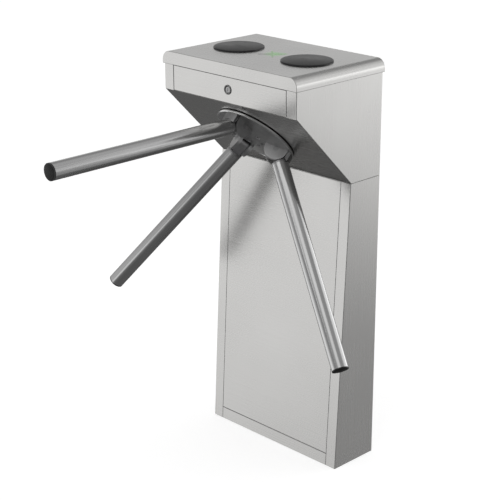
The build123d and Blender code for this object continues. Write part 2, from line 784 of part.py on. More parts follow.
def arm_cap():
    """Plug in the tube's end, with a crowned flange of the tube's own diameter."""
    plug = [
        (0, TUBE_END - 20),
        (TUBE_BORE - 2.5, TUBE_END - 20),
        (TUBE_BORE, TUBE_END - 17),
        (TUBE_BORE, TUBE_END),
        (0, TUBE_END),
    ]
    rim = TUBE_END + CAP_FLANGE
    top = rim + CAP_CROWN
    sphere = (TUBE_RADIUS**2 + CAP_CROWN**2) / (2 * CAP_CROWN)
    middle = TUBE_RADIUS / 2
    middle_height = top - sphere + sqrt(sphere**2 - middle**2)
    edges = [
        Line((0, TUBE_END), (TUBE_RADIUS, TUBE_END)),
        Line((TUBE_RADIUS, TUBE_END), (TUBE_RADIUS, rim)),
        ThreePointArc((TUBE_RADIUS, rim), (middle, middle_height), (0, top)),
        Line((0, top), (0, TUBE_END)),
    ]
    return turned(plug) + revolve(Plane.XZ * make_face(edges), Axis.Z)


# ------------------------------------------------------------ mechanism pieces
def mechanism_front_plate():
    back = FRONT_PLATE_W - PLATE_THICKNESS
    plate = block(-PLATE_HALF_X, PLATE_HALF_X, -PLATE_HALF_Y, PLATE_HALF_Y, back, FRONT_PLATE_W)
    plate -= rod(SHAFT_FLANGE_RADIUS + 2.5, -20, 5)
    for x, y in plate_bolt_places():
        plate -= rod(PLATE_BOLT_RADIUS, -20, 5, x, y)
    return plate


def mechanism_rear_plate():
    back = REAR_PLATE_W - PLATE_THICKNESS
    plate = block(-PLATE_HALF_X, PLATE_HALF_X, -PLATE_HALF_Y, PLATE_HALF_Y, back, REAR_PLATE_W)
    plate -= rod(SHAFT_RADIUS + 1, back - 1, REAR_PLATE_W + 1)
    for x, y in post_places():
        plate -= rod(4, back - 1, REAR_PLATE_W + 1, x, y)
    return plate


def post_places():
    return [(x, y) for x in (-POST_X, POST_X) for y in (-POST_Y, POST_Y)]


def mechanism_posts():
    front = FRONT_PLATE_W - PLATE_THICKNESS
    post = rod(POST_RADIUS, REAR_PLATE_W, front)
    return group([Pos(x, y, 0) * post for x, y in post_places()])


def mechanism_bolts():
    nut_front = FRONT_PLATE_W - PLATE_THICKNESS
    rear_back = REAR_PLATE_W - PLATE_THICKNESS
    radius = PLATE_BOLT_RADIUS
    bolt = rod(radius, nut_front - 8, -SLANT_PLATE)
    bolt += turned([(0, -SLANT_PLATE), (radius, -SLANT_PLATE), (7.5, 0), (0, 0)])
    nut = hexagon(13, nut_front - 6.5, nut_front) - rod(radius, nut_front - 8, nut_front + 1)
    pieces = []
    for x, y in plate_bolt_places():
        pieces += [Pos(x, y, 0) * bolt, Pos(x, y, 0) * nut]
    screw = rod(4, rear_back, REAR_PLATE_W) + hexagon(13, rear_back - 5.5, rear_back)
    pieces += [Pos(x, y, 0) * screw for x, y in post_places()]
    return group(pieces)


def main_shaft():
    shaft = rod(SHAFT_RADIUS, SHAFT_END_W, SHAFT_FLANGE_BACK)
    shaft += rod(SHAFT_FLANGE_RADIUS, SHAFT_FLANGE_BACK, HUB_GAP)
    for x, y in hub_screw_places():
        shaft -= rod(3, SHAFT_FLANGE_BACK - 1, HUB_GAP + 1, x, y)
    return shaft


def bearing_housing():
    """Front housing, against the front plate's back."""
    seat = FRONT_PLATE_W - PLATE_THICKNESS
    back = FRONT_BEARING_W - 2
    body = rod(44, seat - 4, seat) + rod(38, back, seat - 4)
    body -= rod(BEARING_OUTER, FRONT_BEARING_W, seat + 1)
    return body - rod(24, back - 1, seat + 1)


def flip_to_rear(part):
    """Turn a front bearing piece end for end onto the rear plate."""
    front_seat = FRONT_PLATE_W - PLATE_THICKNESS
    return mirror(part, Plane.XY.offset((front_seat + REAR_PLATE_W) / 2))


def bearing_pair(part):
    return group([part, flip_to_rear(part)])


def bearing_outer_ring():
    return ring(BEARING_OUTER, BEARING_OUTER_LAND, FRONT_BEARING_W, FRONT_BEARING_W + BEARING_WIDTH)


def bearing_inner_ring():
    return ring(BEARING_INNER_LAND, SHAFT_RADIUS, FRONT_BEARING_W, FRONT_BEARING_W + BEARING_WIDTH)


def bearing_balls():
    track = (BEARING_OUTER_LAND + BEARING_INNER_LAND) / 2
    middle = FRONT_BEARING_W + BEARING_WIDTH / 2
    balls = []
    for index in range(BALL_COUNT):
        angle = 2 * pi * index / BALL_COUNT
        balls.append(Pos(track * cos(angle), track * sin(angle), middle) * Sphere(BEARING_BALL))
    return group(balls)


def index_wheel():
    wheel = rod(WHEEL_RADIUS, WHEEL_W, WHEEL_W + WHEEL_THICKNESS)
    notch = block(
        WHEEL_RADIUS - NOTCH_DEPTH,
        WHEEL_RADIUS + 5,
        -NOTCH_WIDTH / 2,
        NOTCH_WIDTH / 2,
        WHEEL_W - 1,
        WHEEL_W + WHEEL_THICKNESS + 1,
    )
    for index in range(NOTCH_COUNT):
        wheel -= Rot(0, 0, 360 * index / NOTCH_COUNT) * notch
    wheel += rod(22, WHEEL_W - 7, WHEEL_W)
    return wheel - rod(SHAFT_RADIUS, WHEEL_W - 8, WHEEL_W + WHEEL_THICKNESS + 1)


def gear(teeth, z0, z1, turn):
    """Spur gear with straight-flanked teeth, one tooth centred at the turn angle."""
    pitch = GEAR_MODULE * teeth / 2
    root = pitch - 1.15 * GEAR_MODULE
    tip = pitch + 0.8 * GEAR_MODULE
    root_half = 0.62 * GEAR_MODULE * pi / 2
    tip_half = 0.26 * GEAR_MODULE * pi / 2
    tooth = [(root - 1, -root_half), (tip, -tip_half), (tip, tip_half), (root - 1, root_half)]
    tooth_face = make_face(Polyline(*tooth, close=True))
    outline = Circle(root)
    for index in range(teeth):
        outline += Rot(0, 0, turn + 360 * index / teeth) * tooth_face
    return extrude(Pos(0, 0, z0) * outline, z1 - z0)


def drive_gear():
    body = gear(GEAR_TEETH, GEAR_W, GEAR_W + GEAR_WIDTH, 90.0)
    body += rod(22, GEAR_W - 5, GEAR_W)
    lightening = [
        rod(8, GEAR_W - 1, GEAR_W + GEAR_WIDTH + 1, 33 * cos(index * pi / 3), 33 * sin(index * pi / 3))
        for index in range(6)
    ]
    body -= group(lightening)
    return body - rod(SHAFT_RADIUS, GEAR_W - 6, GEAR_W + GEAR_WIDTH + 1)


def damper_pinion():
    half_tooth = 180 / PINION_TEETH
    pinion = gear(PINION_TEETH, GEAR_W - 1, GEAR_W + GEAR_WIDTH + 1, -90.0 + half_tooth)
    pinion += rod(4, GEAR_W - 22, GEAR_W + GEAR_WIDTH + 3)
    return Pos(0, GEAR_DISTANCE, 0) * pinion


def damper_body():
    top = GEAR_W - 4
    body = rod(DAMPER_RADIUS, REAR_PLATE_W, top)
    body -= rod(4 + SHAFT_CLEARANCE, GEAR_W - 24, top + 1)
    return Pos(0, GEAR_DISTANCE, 0) * body


def encoder_disc():
    disc = rod(ENCODER_RADIUS, ENCODER_W, ENCODER_W + 1.5)
    disc += rod(20, ENCODER_W + 1.5, ENCODER_W + 5.5)
    window = block(23, 28, -2, 2, ENCODER_W - 1, ENCODER_W + 3)
    for index in range(NOTCH_COUNT):
        disc -= Rot(0, 0, 360 * index / NOTCH_COUNT) * window
    return disc - rod(SHAFT_RADIUS, ENCODER_W - 1, ENCODER_W + 6)


def encoder_sensor():
    plate_back = REAR_PLATE_W - PLATE_THICKNESS
    sensor = block(-8, 8, 22, 40, plate_back - 15, plate_back)
    return sensor - block(-9, 9, 20, 33, ENCODER_W - 3, ENCODER_W + 4.5)


# ----------------------------------------------------- locking pawls, right side
def pawl_direction():
    """Angle of the lever from its pivot to its nose, about the hub axis."""
    nose_angle = radians(PAWL_NOTCH_ANGLE)
    reach = PAWL_NOSE_RADIUS + 12.5
    run = reach * cos(nose_angle) - PAWL_PIVOT_X
    rise = reach * sin(nose_angle) - PAWL_PIVOT_Y
    return degrees(atan2(rise, run)), hypot(run, rise)


def tail_place():
    angle, _ = pawl_direction()
    x = PAWL_PIVOT_X - PAWL_TAIL * cos(radians(angle))
    y = PAWL_PIVOT_Y - PAWL_TAIL * sin(radians(angle))
    return x, y


def pawl():
    low, high = PAWL_W, PAWL_W + PAWL_THICKNESS
    angle, length = pawl_direction()
    bar = block(-PAWL_TAIL - 6, length, -5, 5, low, high) + rod(10, low, high)
    for along in (-PAWL_TAIL - 1.5, -PAWL_TAIL + 1.5):
        bar -= rod(2.3, low - 1, high + 1, along)
    bar -= block(-PAWL_TAIL - 1.5, -PAWL_TAIL + 1.5, -2.3, 2.3, low - 1, high + 1)
    bar -= rod(5 + SHAFT_CLEARANCE, low - 1, high + 1)
    nose = block(PAWL_NOSE_RADIUS, PAWL_NOSE_RADIUS + 17, -5, 5, low, high)
    lever = Pos(PAWL_PIVOT_X, PAWL_PIVOT_Y, 0) * Rot(0, 0, angle) * bar
    return lever + Rot(0, 0, PAWL_NOTCH_ANGLE) * nose


def pawl_pivot_post():
    front = FRONT_PLATE_W - PLATE_THICKNESS
    low, high = PAWL_W, PAWL_W + PAWL_THICKNESS
    post = rod(8, high + 0.5, front) + rod(5, low - 5, high + 0.5) + rod(7.5, low - 2.5, low - 0.5)
    return Pos(PAWL_PIVOT_X, PAWL_PIVOT_Y, 0) * post


def solenoid():
    _, y = tail_place()
    w = PAWL_W + PAWL_THICKNESS / 2
    front = FRONT_PLATE_W - PLATE_THICKNESS
    yoke = block(32, 74, y - 11, y + 11, w - 12, front)
    yoke -= rod_x(PLUNGER_RADIUS + 0.3, 38, 80, y, w)
    window = block(37, 69, y - 12, y - 9, w - 9, w + 9)
    return yoke - window - mirror(window, Plane.XZ.offset(-y))


def plunger():
    x, y = tail_place()
    w = PAWL_W + PAWL_THICKNESS / 2
    rod_end = 80.0
    web_end = 84.0
    tip = x + 5
    piece = rod_x(PLUNGER_RADIUS, 42, rod_end + 1, y, w)
    piece += block(rod_end, web_end, y - 5, y + 5, w - 7.5, w + 7.5)
    for low in (w - 7.5, w + 4.6):
        piece += block(web_end - 1, tip, y - 5, y + 5, low, low + 2.9)
    return piece + rod(2, w - 7.5, w + 7.5, x, y)


def left_of(part):
    return mirror(part, Plane.YZ)


# ------------------------------------------------------------------ all nodes
def all_nodes():
    nodes = {
        "base_plate": base_plate(),
        "cable_grommet": cable_grommet(),
        "pedestal_shell": pedestal_shell(),
        "pedestal_front_panel": pedestal_front_panel(),
        "joint_bolts": joint_bolts(),
        "head_shell": head_shell(),
        "head_front_panel": head_front_panel(),
        "slant_plate": slant_plate(),
        "lid": lid(),
        "lid_catch": lid_catch(),
        "lid_hinge_fixed_leaves": at_both_hinges(hinge_fixed_leaf()),
        "lid_hinge_moving_leaves": at_both_hinges(hinge_moving_leaf()),
        "lid_hinge_pins": at_both_hinges(hinge_pin()),
        "reader_cover_left": reader_cover(-1),
        "reader_cover_right": reader_cover(1),
        "reader_boards": reader_boards(),
        "indicator_lens": indicator_lens(),
        "lock_barrel": lock_barrel(),
        "lock_nut": lock_nut(),
        "lock_plug": lock_plug(),
        "lock_cam": lock_cam(),
        "power_supply": power_supply(),
        "terminal_strip": terminal_strip(),
        "controller_board": controller_board(),
    }
    hub_nodes = {
        "hub_disc": hub_disc(),
        "hub_trim_ring": hub_trim_ring(),
        "hub_screws": hub_screws(),
        "arm_rests": arm_rests(),
        "pivot_pins": pivot_pins(),
        "mechanism_front_plate": mechanism_front_plate(),
        "mechanism_rear_plate": mechanism_rear_plate(),
        "mechanism_posts": mechanism_posts(),
        "mechanism_bolts": mechanism_bolts(),
        "main_shaft": main_shaft(),
        "bearing_housings": bearing_pair(bearing_housing()),
        "bearing_outer_rings": bearing_pair(bearing_outer_ring()),
        "bearing_inner_rings": bearing_pair(bearing_inner_ring()),
        "bearing_balls": bearing_pair(bearing_balls()),
        "index_wheel": index_wheel(),
        "drive_gear": drive_gear(),
        "damper_pinion": damper_pinion(),
        "damper_body": damper_body(),
        "encoder_disc": encoder_disc(),
        "encoder_sensor": encoder_sensor(),
        "pawl_pivot_posts": both_sides(pawl_pivot_post()),
        "pawl_right": pawl(),
        "pawl_left": left_of(pawl()),
        "solenoid_right": solenoid(),
        "solenoid_left": left_of(solenoid()),
        "plunger_right": plunger(),
        "plunger_left": left_of(plunger()),
    }
    for name, part in hub_nodes.items():
        nodes[name] = on_hub(part)
    for place, angle in ARM_ANGLES.items():
        nodes[f"arm_root_{place}"] = on_arm(arm_root(), angle)
        nodes[f"arm_tube_{place}"] = on_arm(arm_tube(), angle)
        nodes[f"arm_cap_{place}"] = on_arm(arm_cap(), angle)
    return nodes


os.makedirs("parts", exist_ok=True)
for node, shape in all_nodes().items():
    export_step(shape, f"parts/{node}.step")
    print(node, len(shape.solids()), round(shape.volume))
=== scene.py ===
import json
from math import cos, exp, pi, radians, sin

import bmesh
import bpy
from mathutils import Matrix, Vector


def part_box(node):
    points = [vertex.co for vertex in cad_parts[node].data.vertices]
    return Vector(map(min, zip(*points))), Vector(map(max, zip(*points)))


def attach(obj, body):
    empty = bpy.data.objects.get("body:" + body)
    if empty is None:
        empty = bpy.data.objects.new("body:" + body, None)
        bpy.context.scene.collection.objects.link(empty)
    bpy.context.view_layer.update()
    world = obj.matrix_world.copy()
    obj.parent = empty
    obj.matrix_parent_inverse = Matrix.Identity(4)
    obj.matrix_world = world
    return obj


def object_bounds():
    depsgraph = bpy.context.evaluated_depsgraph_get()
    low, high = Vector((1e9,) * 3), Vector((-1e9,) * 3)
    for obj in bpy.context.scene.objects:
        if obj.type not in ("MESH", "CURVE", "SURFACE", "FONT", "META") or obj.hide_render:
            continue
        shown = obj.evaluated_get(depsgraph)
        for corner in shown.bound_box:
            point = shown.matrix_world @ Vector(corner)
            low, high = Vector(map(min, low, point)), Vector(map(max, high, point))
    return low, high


# Looks of a tripod turnstile, in metres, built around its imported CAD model.
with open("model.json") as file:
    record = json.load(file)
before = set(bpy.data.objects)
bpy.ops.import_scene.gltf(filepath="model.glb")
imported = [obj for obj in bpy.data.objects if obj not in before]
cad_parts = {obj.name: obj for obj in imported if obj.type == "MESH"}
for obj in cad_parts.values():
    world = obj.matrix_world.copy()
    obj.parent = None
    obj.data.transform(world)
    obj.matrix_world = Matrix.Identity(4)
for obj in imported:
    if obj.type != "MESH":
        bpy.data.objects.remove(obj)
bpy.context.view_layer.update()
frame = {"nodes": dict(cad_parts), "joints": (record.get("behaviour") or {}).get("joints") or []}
scene = bpy.context.scene
joints = {joint["name"]: joint for joint in frame["joints"]}
MM = 0.001

# ------------------------------------------------------------------- camera
AIM = Vector((-0.0120, -0.1326, 0.5204))
DISTANCE = 3.3
AZIMUTH = 45.473
ELEVATION = 19.857
ROLL = -0.163
LENS = 100.93
SENSOR_WIDTH = 36.0


def add_camera():
    data = bpy.data.cameras.new("camera")
    data.lens = LENS
    data.sensor_width = SENSOR_WIDTH
    camera = bpy.data.objects.new("camera", data)
    scene.collection.objects.link(camera)
    heading = radians(AZIMUTH)
    lift = radians(ELEVATION)
    back = Vector((sin(heading) * cos(lift), -cos(heading) * cos(lift), sin(lift)))
    turn = (-back).to_track_quat("-Z", "Y").to_matrix().to_4x4()
    roll = Matrix.Rotation(radians(ROLL), 4, "Z")
    camera.matrix_world = Matrix.Translation(AIM + back * DISTANCE) @ turn @ roll
    scene.camera = camera


# ------------------------------------------------------------- node helpers
# The colour sockets of a mix node.
COLOR_A = 6
COLOR_B = 7
COLOR_RESULT = 2


class NodeTree:
    """Short ways to add nodes to a tree."""

    def __init__(self, tree):
        self.tree = tree

    def add(self, kind, inputs=None, **settings):
        node = self.tree.nodes.new(kind)
        for key, value in settings.items():
            setattr(node, key, value)
        for key, value in (inputs or {}).items():
            self.feed(node.inputs[key], value)
        return node

    def feed(self, socket, value):
        if isinstance(value, bpy.types.NodeSocket):
            self.tree.links.new(value, socket)
        else:
            socket.default_value = value

    def math(self, operation, a, b=0.0):
        return self.add("ShaderNodeMath", {0: a, 1: b}, operation=operation).outputs[0]


class Shader(NodeTree):
    """The nodes of a Principled material."""

    def __init__(self, material):
        super().__init__(material.node_tree)
        self.material = material
        self.principled = self.tree.nodes["Principled BSDF"]
        self.position = self.tree.nodes["Texture Coordinate"].outputs["Object"]

    @classmethod
    def new(cls, name, color, metallic=0.0, roughness=0.5):
        material = bpy.data.materials.new(name)
        material.use_nodes = True
        material.node_tree.nodes.new("ShaderNodeTexCoord")
        shader = cls(material)
        shader.principled.inputs["Base Color"].default_value = (*color, 1.0)
        shader.principled.inputs["Metallic"].default_value = metallic
        shader.roughness(roughness)
        return shader

    def vector_math(self, operation, a, b):
        return self.add("ShaderNodeVectorMath", {0: a, 1: b}, operation=operation).outputs[0]

    def dot(self, a, b):
        node = self.add("ShaderNodeVectorMath", {0: a, 1: b}, operation="DOT_PRODUCT")
        return node.outputs["Value"]

    def scaled(self, vector, factor):
        node = self.add("ShaderNodeVectorMath", {0: vector, "Scale": factor}, operation="SCALE")
        return node.outputs[0]

    def noise(self, vector, scale=1.0, detail=3.0, roughness=0.5):
        inputs = {"Vector": vector, "Scale": scale, "Detail": detail, "Roughness": roughness}
        return self.add("ShaderNodeTexNoise", inputs).outputs["Fac"]

    def cells(self, scale):
        """A flat random value in each cell of a Voronoi pattern."""
        inputs = {"Vector": self.position, "Scale": scale}
        pattern = self.add("ShaderNodeTexVoronoi", inputs).outputs["Color"]
        return self.add("ShaderNodeSeparateColor", {"Color": pattern}).outputs[0]

    def stretched(self, axis, across, along):
        """Position scaled by one frequency along an axis and by another across it."""
        shift = self.math("MULTIPLY", self.dot(self.position, axis), along - across)
        direction = self.add("ShaderNodeCombineXYZ", dict(zip("XYZ", axis))).outputs[0]
        flat = self.scaled(self.position, across)
        return self.vector_math("ADD", flat, self.scaled(direction, shift))

    def spread(self, value, low, high, from_low=0.25, from_high=0.75):
        """Map a value onto a range, by default from where most of a noise lies."""
        inputs = {"Value": value, "From Min": from_low, "From Max": from_high,
                  "To Min": low, "To Max": high}
        return self.add("ShaderNodeMapRange", inputs).outputs["Result"]

    def mix(self, factor, a, b):
        node = self.add("ShaderNodeMix", data_type="RGBA")
        self.feed(node.inputs["Factor"], factor)
        for index, color in ((COLOR_A, a), (COLOR_B, b)):
            is_socket = isinstance(color, bpy.types.NodeSocket)
            self.feed(node.inputs[index], color if is_socket else (*color, 1.0))
        return node.outputs[COLOR_RESULT]

    def bump(self, height, strength, distance):
        normal = self.principled.inputs["Normal"]
        below = normal.links[0].from_socket if normal.is_linked else None
        inputs = {"Height": height, "Strength": strength, "Distance": distance}
        node = self.add("ShaderNodeBump", inputs)
        if below:
            self.feed(node.inputs["Normal"], below)
        self.feed(normal, node.outputs["Normal"])

    def edges(self, radius):
        """0 on flat stretches and 1 on sharp edges."""
        rounded = self.add("ShaderNodeBevel", {"Radius": radius}, samples=4).outputs["Normal"]
        plain = self.add("ShaderNodeNewGeometry").outputs["Normal"]
        likeness = self.dot(rounded, plain)
        return self.spread(likeness, 1.0, 0.0, from_low=0.75, from_high=0.995)

    def color(self, value):
        self.feed(self.principled.inputs["Base Color"], value)

    def rubbed(self, worn, share, body, bright):
        """Colour the body, blended towards a brighter colour on worn edges."""
        self.color(self.mix(self.math("MULTIPLY", worn, share), body, bright))

    def overlay(self, factor, color):
        """Lay a colour over the base colour."""
        below = self.principled.inputs["Base Color"].links[0].from_socket
        self.color(self.mix(factor, below, color))

    def between(self, value, low, high):
        """1 where a value lies between two limits and 0 elsewhere."""
        above = self.math("GREATER_THAN", value, low)
        return self.math("MULTIPLY", above, self.math("LESS_THAN", value, high))

    def roughness(self, value):
        self.feed(self.principled.inputs["Roughness"], value)


def shade(color, factor):
    return tuple(channel * factor for channel in color)


# ---------------------------------------------------------------- materials
STEEL = (0.60, 0.595, 0.585)
MASK_GREEN = (0.015, 0.13, 0.06)
GREEN = (0.25, 0.62, 0.18)
# Painted light: the colour of the indicator's green glow, laid into the lid steel near the lens.
PAINTED_GLOW_COLOR = (0.32, 0.76, 0.26)
# How strongly the indicator's own bars give off green light.
GLOW_STRENGTH = 0.30
# Where the indicator starts to light up and where it is fully lit, in halves of its width.
LIT_FROM = -0.30
LIT_TO = -0.08
# The share of a circuit board's parts that are black; the others are grey.
BLACK_SHARE = 0.55


def brushing(steel, axis):
    """Fine scratches and broad streaks along an axis."""
    fine = steel.noise(steel.stretched(axis, across=1600.0, along=9.0), detail=2.0)
    streaks = steel.noise(steel.stretched(axis, across=230.0, along=2.2), detail=4.0, roughness=0.6)
    scratches = steel.math("MULTIPLY", fine, 0.45)
    return steel.math("ADD", scratches, steel.math("MULTIPLY", streaks, 0.55))


def grained_steel(name, color, axis, roughness, grain=1.0, strip_top=None):
    """Brushed stainless steel with its grain along an axis, or along X below a height."""
    steel = Shader.new(name, color, metallic=1.0)
    mixed = brushing(steel, axis)
    if strip_top is not None:
        height = steel.add("ShaderNodeSeparateXYZ", {0: steel.position}).outputs["Z"]
        above = steel.math("GREATER_THAN", height, strip_top)
        flat = brushing(steel, (1, 0, 0))
        step = steel.math("MULTIPLY", above, steel.math("SUBTRACT", mixed, flat))
        mixed = steel.math("ADD", flat, step)
    cloud = steel.noise(steel.position, scale=5.0, detail=3.0)
    tone = steel.spread(mixed, 0.0, 1.0, 0.35, 0.65)
    plain = steel.mix(tone, shade(color, 1 - 0.07 * grain), shade(color, 1 + 0.05 * grain))
    worn = steel.edges(1.2 * MM)
    steel.rubbed(worn, 0.35, plain, shade(color, 1.25))
    base = steel.spread(cloud, roughness - 0.02, roughness + 0.03)
    varied = steel.math("ADD", base, steel.spread(mixed, -0.03, 0.03))
    steel.roughness(steel.math("SUBTRACT", varied, steel.math("MULTIPLY", worn, 0.06)))
    steel.bump(mixed, strength=0.05 * grain, distance=0.25 * MM)
    return steel.material


def cast_metal(name, color, roughness):
    """Bead-blasted casting: fine grit, soft mottling and polished high spots."""
    metal = Shader.new(name, color, metallic=1.0)
    grains = metal.noise(metal.position, scale=2600.0, detail=2.0)
    mottle = metal.noise(metal.position, scale=55.0, detail=4.0, roughness=0.6)
    worn = metal.edges(1.2 * MM)
    body = metal.mix(metal.spread(mottle, 0.0, 1.0), shade(color, 0.90), shade(color, 1.08))
    metal.rubbed(worn, 0.5, body, shade(color, 1.5))
    varied = metal.spread(mottle, roughness - 0.05, roughness + 0.06)
    metal.roughness(metal.math("SUBTRACT", varied, metal.math("MULTIPLY", worn, 0.12)))
    metal.bump(grains, strength=0.10, distance=0.2 * MM)
    return metal.material


def turned_metal(name, color, centre, axis, roughness=0.16, pitch=1500.0):
    """Bright turned metal with faint tool rings around an axis."""
    metal = Shader.new(name, color, metallic=1.0)
    offset = metal.vector_math("SUBTRACT", metal.position, tuple(centre))
    along = metal.dot(offset, tuple(axis))
    length = metal.add("ShaderNodeVectorMath", {0: offset}, operation="LENGTH").outputs["Value"]
    square = metal.math("SUBTRACT", metal.math("POWER", length, 2.0), metal.math("POWER", along, 2.0))
    radius = metal.math("SQRT", square)
    place = metal.add("ShaderNodeCombineXYZ", {"X": radius, "Y": along}).outputs[0]
    rings = metal.noise(metal.scaled(place, pitch), detail=2.0)
    smears = metal.noise(metal.position, scale=90.0, detail=3.0)
    worn = metal.edges(0.8 * MM)
    body = metal.mix(metal.spread(rings, 0.0, 1.0), shade(color, 0.92), shade(color, 1.06))
    metal.rubbed(worn, 0.4, body, shade(color, 1.25))
    varied = metal.spread(smears, roughness - 0.04, roughness + 0.06)
    metal.roughness(metal.math("ADD", varied, metal.spread(rings, -0.02, 0.03)))
    metal.bump(rings, strength=0.06, distance=0.1 * MM)
    return metal.material


def plated_metal(name, color, roughness=0.25, tint=None):
    """Zinc, nickel or ground steel with faint spangle and handling marks."""
    metal = Shader.new(name, color, metallic=1.0)
    value = metal.cells(420.0)
    smears = metal.noise(metal.position, scale=70.0, detail=4.0, roughness=0.6)
    worn = metal.edges(0.6 * MM)
    spangle = metal.spread(value, 0.0, 1.0, 0.0, 1.0)
    body = metal.mix(spangle, shade(color, 0.93), tint or shade(color, 1.07))
    metal.rubbed(worn, 0.4, body, shade(color, 1.3))
    metal.roughness(metal.spread(smears, roughness - 0.06, roughness + 0.10))
    metal.bump(smears, strength=0.05, distance=0.3 * MM)
    return metal.material


def moulded_plastic(name, color, roughness, texture=2200.0, relief=0.12, wear=1.9):
    """Moulded plastic with a spark-eroded texture and lighter rubbed edges."""
    plastic = Shader.new(name, color, roughness=roughness)
    fine = plastic.noise(plastic.position, scale=texture, detail=2.0)
    cloud = plastic.noise(plastic.position, scale=30.0, detail=3.0)
    worn = plastic.edges(0.8 * MM)
    body = plastic.mix(plastic.spread(cloud, 0.0, 1.0), shade(color, 0.88), shade(color, 1.12))
    plastic.rubbed(worn, 0.5, body, shade(color, wear))
    varied = plastic.spread(cloud, roughness - 0.04, roughness + 0.05)
    plastic.roughness(plastic.math("SUBTRACT", varied, plastic.math("MULTIPLY", worn, 0.1)))
    plastic.bump(fine, strength=relief, distance=0.2 * MM)
    return plastic.material


def painted_metal(name, color, roughness):
    """Sprayed primer with orange peel and rubbed edges."""
    primer = Shader.new(name, color, roughness=roughness)
    peel = primer.noise(primer.position, scale=700.0, detail=2.0)
    cloud = primer.noise(primer.position, scale=18.0, detail=4.0)
    worn = primer.edges(1.0 * MM)
    body = primer.mix(primer.spread(cloud, 0.0, 1.0), shade(color, 0.85), shade(color, 1.1))
    primer.rubbed(worn, 0.6, body, shade(color, 1.6))
    primer.roughness(primer.spread(cloud, roughness - 0.06, roughness + 0.08))
    primer.bump(peel, strength=0.15, distance=0.2 * MM)
    return primer.material


def light_guide(name, centre, reach):
    """Pale bars, lit green on the side towards +X and +Y."""
    guide = Shader.new(name, (0.28, 0.28, 0.27), roughness=0.35)
    offset = guide.vector_math("SUBTRACT", guide.position, tuple(centre))
    parts = guide.add("ShaderNodeSeparateXYZ", {0: offset})
    along = guide.math("ADD", parts.outputs["X"], parts.outputs["Y"])
    grain = guide.noise(guide.position, scale=800.0, detail=2.0)
    lit = guide.spread(along, 0.0, 1.0, LIT_FROM * reach, LIT_TO * reach)
    green = guide.mix(grain, shade(GREEN, 0.8), GREEN)
    guide.feed(guide.principled.inputs["Emission Color"], green)
    strength = guide.math("MULTIPLY", lit, GLOW_STRENGTH)
    guide.feed(guide.principled.inputs["Emission Strength"], strength)
    guide.color(guide.mix(grain, (0.25, 0.25, 0.24), (0.31, 0.31, 0.30)))
    guide.bump(grain, strength=0.1, distance=0.1 * MM)
    return guide.material


def solder_mask(name, axis, surface):
    """Green board with fine tracks, and grey or black parts below a height along an axis."""
    board = Shader.new(name, MASK_GREEN, roughness=0.32)
    tracks = board.add("ShaderNodeTexBrick", {
        "Vector": board.position,
        "Scale": 260.0,
        "Mortar Size": 0.06,
        "Color1": (*MASK_GREEN, 1.0),
        "Color2": (*shade(MASK_GREEN, 1.3), 1.0),
        "Mortar": (*shade(MASK_GREEN, 2.2), 1.0),
    })
    place = board.add("ShaderNodeSeparateXYZ", {0: board.position}).outputs[axis]
    is_grey = board.math("GREATER_THAN", board.cells(30.0), BLACK_SHARE)
    parts = board.mix(is_grey, (0.018, 0.018, 0.019), (0.34, 0.35, 0.36))
    mounted = board.math("LESS_THAN", place, surface)
    board.color(board.mix(mounted, tracks.outputs["Color"], parts))
    cloud = board.noise(board.position, scale=60.0, detail=3.0)
    board.roughness(board.spread(cloud, 0.26, 0.40))
    board.bump(tracks.outputs["Fac"], strength=0.1, distance=0.1 * MM)
    return board.material


# ------------------------------------------------------------- mesh helpers
ON_AXIS = 1e-7
SHARP_ANGLE = 35


def new_piece(name, shape, material, body):
    """A piece made from a filled bmesh, riding on a CAD body."""
    data = bpy.data.meshes.new(name)
    bmesh.ops.recalc_face_normals(shape, faces=shape.faces)
    shape.to_mesh(data)
    shape.free()
    piece = bpy.data.objects.new(name, data)
    scene.collection.objects.link(piece)
    data.materials.append(material)
    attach(piece, body)
    return piece


def around(radius, angle, height):
    return Vector((radius * cos(angle), radius * sin(angle), height))


def lathe(outline, place, steps=64):
    """Turn an outline in (radius, height) about the local Z axis of a placing matrix.

    A point on the axis gives a ring of one vertex, so its faces come out as triangles.
    """
    shape = bmesh.new()
    rings = []
    for radius, height in outline:
        count = steps if radius > ON_AXIS else 1
        angles = [2 * pi * index / steps for index in range(count)]
        rings.append([shape.verts.new(place @ around(radius, angle, height)) for angle in angles])
    for low, high in zip(rings, rings[1:]):
        for index in range(steps):
            after = (index + 1) % steps
            lower = (low[index % len(low)], low[after % len(low)])
            upper = (high[after % len(high)], high[index % len(high)])
            shape.faces.new(list(dict.fromkeys(lower + upper)))
    return shape


def smooth(piece):
    """Smooth shading that stays crisp at sharp edges."""
    for face in piece.data.polygons:
        face.use_smooth = True
    piece.data.set_sharp_from_angle(angle=radians(SHARP_ANGLE))


def centre_of(node):
    low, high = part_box(node)
    return (low + high) / 2


# ---------------------------------------------------------------- geometry
HUB_AXIS = Vector(joints["rotor_spin"]["axis"]).normalized()
HUB_CENTRE = Vector(joints["rotor_spin"]["pos_m"])
TOP_ARM = Vector((0, -1, 0))
ARM_TURNS = {"top": 0.0, "right": -120.0, "left": 120.0}
ARM_BODIES = {"top": "top_arm", "right": "rotor", "left": "rotor"}


def arm_direction(place):
    return Matrix.Rotation(radians(ARM_TURNS[place]), 3, HUB_AXIS) @ TOP_ARM


# ----------------------------------------------------------------- painting
PANEL_ROUGHNESS = 0.26
PANEL_GRAIN = 0.45
SHELL_GRAIN = 0.25
KICK_TOP = 30.5 * MM
SEAM_WIDTH = 1.5 * MM
SEAM_OVERLAP = 0.05 * MM
NECK_SHADE = 0.42
KICK_SHADE = 0.14
# Painted glow on the lid, standing in for the indicator's green light: how far along the
# lens's half width it lies, its radius in lens widths and its strength.
PAINTED_GLOW_SPOTS = [(0.12, 0.50, 1.0), (0.55, 0.30, 0.8)]
CHIP_DEPTH = 2.3 * MM
BOARD_STAND = 9.7 * MM
LOCK_AXIS = (0, 1, 0)
LOCK_PITCH = 2500.0


